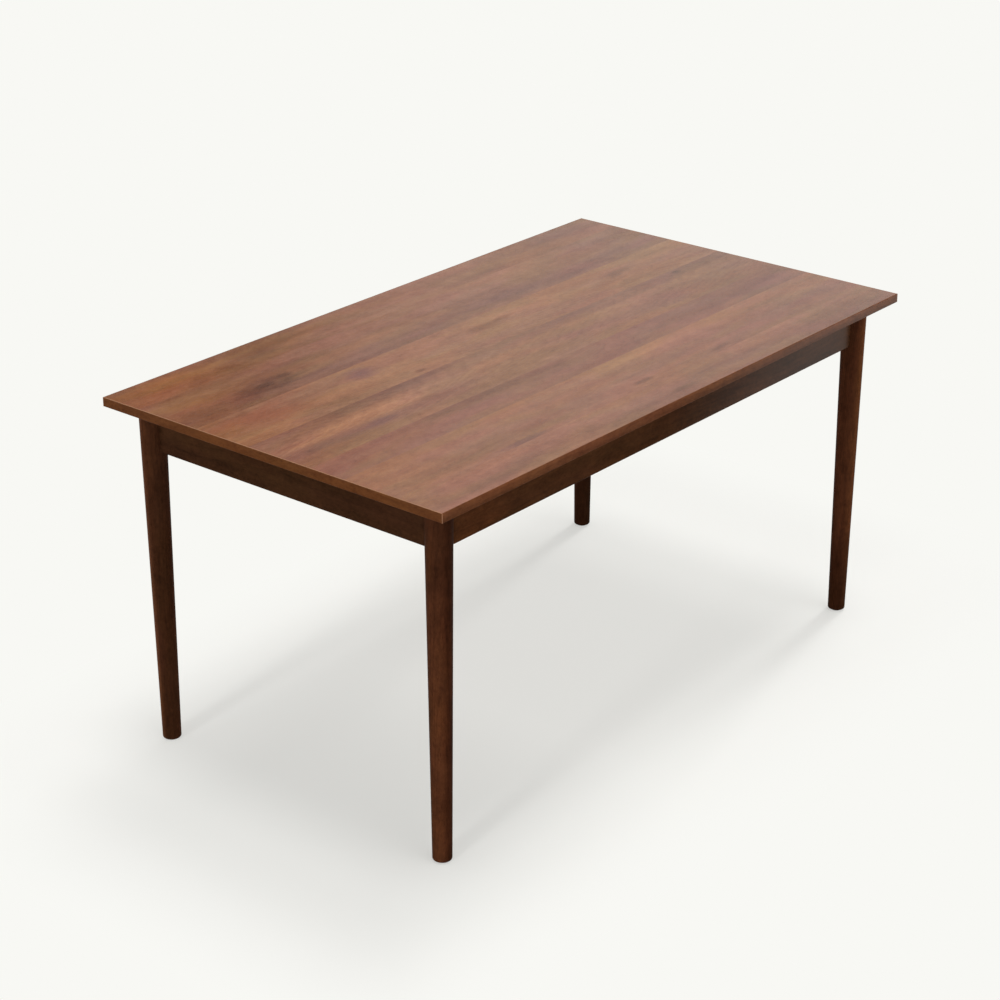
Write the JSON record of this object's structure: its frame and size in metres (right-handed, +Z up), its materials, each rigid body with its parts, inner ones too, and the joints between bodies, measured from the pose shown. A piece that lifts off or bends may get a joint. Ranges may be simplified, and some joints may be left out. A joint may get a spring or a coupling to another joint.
{
  "type": "dining table",
  "caption": "Rectangular dining table: veneered walnut-brown top on a dark apron frame with round legs that taper to the floor, bolted at steel corner brackets.",
  "frame": {"origin": "on the floor, under the middle of the top", "axes": "+X along the table's length to the right end, +Y across its width to the back, +Z up"},
  "size_m": [1.5, 0.86, 0.75],
  "materials": {
    "face_veneer": "satin lacquered walnut veneer in lengthwise leaves",
    "edge_band_walnut": "satin lacquered walnut edge band",
    "board_core": "raw pressed board",
    "backing_veneer": "thinly sealed backing veneer",
    "apron_stain": "dark walnut stain, satin",
    "rail_stain": "dark walnut stain, thin coat",
    "leg_stain": "dark walnut stain, satin",
    "dowel_beech": "raw beech",
    "bracket_steel": "zinc-plated pressed steel",
    "fastener_steel": "zinc-plated",
    "glide_nylon": "dark nylon"
  },
  "bodies": {
    "root": {"top_core": "board_core", "top_backing_veneer": "backing_veneer", "apron_front": "apron_stain", "apron_back": "apron_stain", "apron_left": "apron_stain", "apron_right": "apron_stain", "cross_rail": "rail_stain", "rail_dowels": "dowel_beech", "hanger_bolts": "fastener_steel", "bolt_washers": "fastener_steel", "bolt_nuts": "fastener_steel", "bracket_screws": "fastener_steel", "top_screws": "fastener_steel", "angle_side_screws": "fastener_steel", "top_angles": "bracket_steel", "glide_nails": "fastener_steel", "edge_band_front": "edge_band_walnut", "edge_band_back": "edge_band_walnut", "edge_band_left": "edge_band_walnut", "edge_band_right": "edge_band_walnut", "face_leaf_1": "face_veneer", "face_leaf_2": "face_veneer", "face_leaf_3": "face_veneer", "face_leaf_4": "face_veneer", "face_leaf_5": "face_veneer", "face_leaf_6": "face_veneer", "face_leaf_7": "face_veneer", "leg_front_left": "leg_stain", "corner_bracket_front_left": "bracket_steel", "glide_front_left": "glide_nylon", "leg_front_right": "leg_stain", "corner_bracket_front_right": "bracket_steel", "glide_front_right": "glide_nylon", "leg_back_left": "leg_stain", "corner_bracket_back_left": "bracket_steel", "glide_back_left": "glide_nylon", "leg_back_right": "leg_stain", "corner_bracket_back_right": "bracket_steel", "glide_back_right": "glide_nylon"}
  },
  "joints": []
}
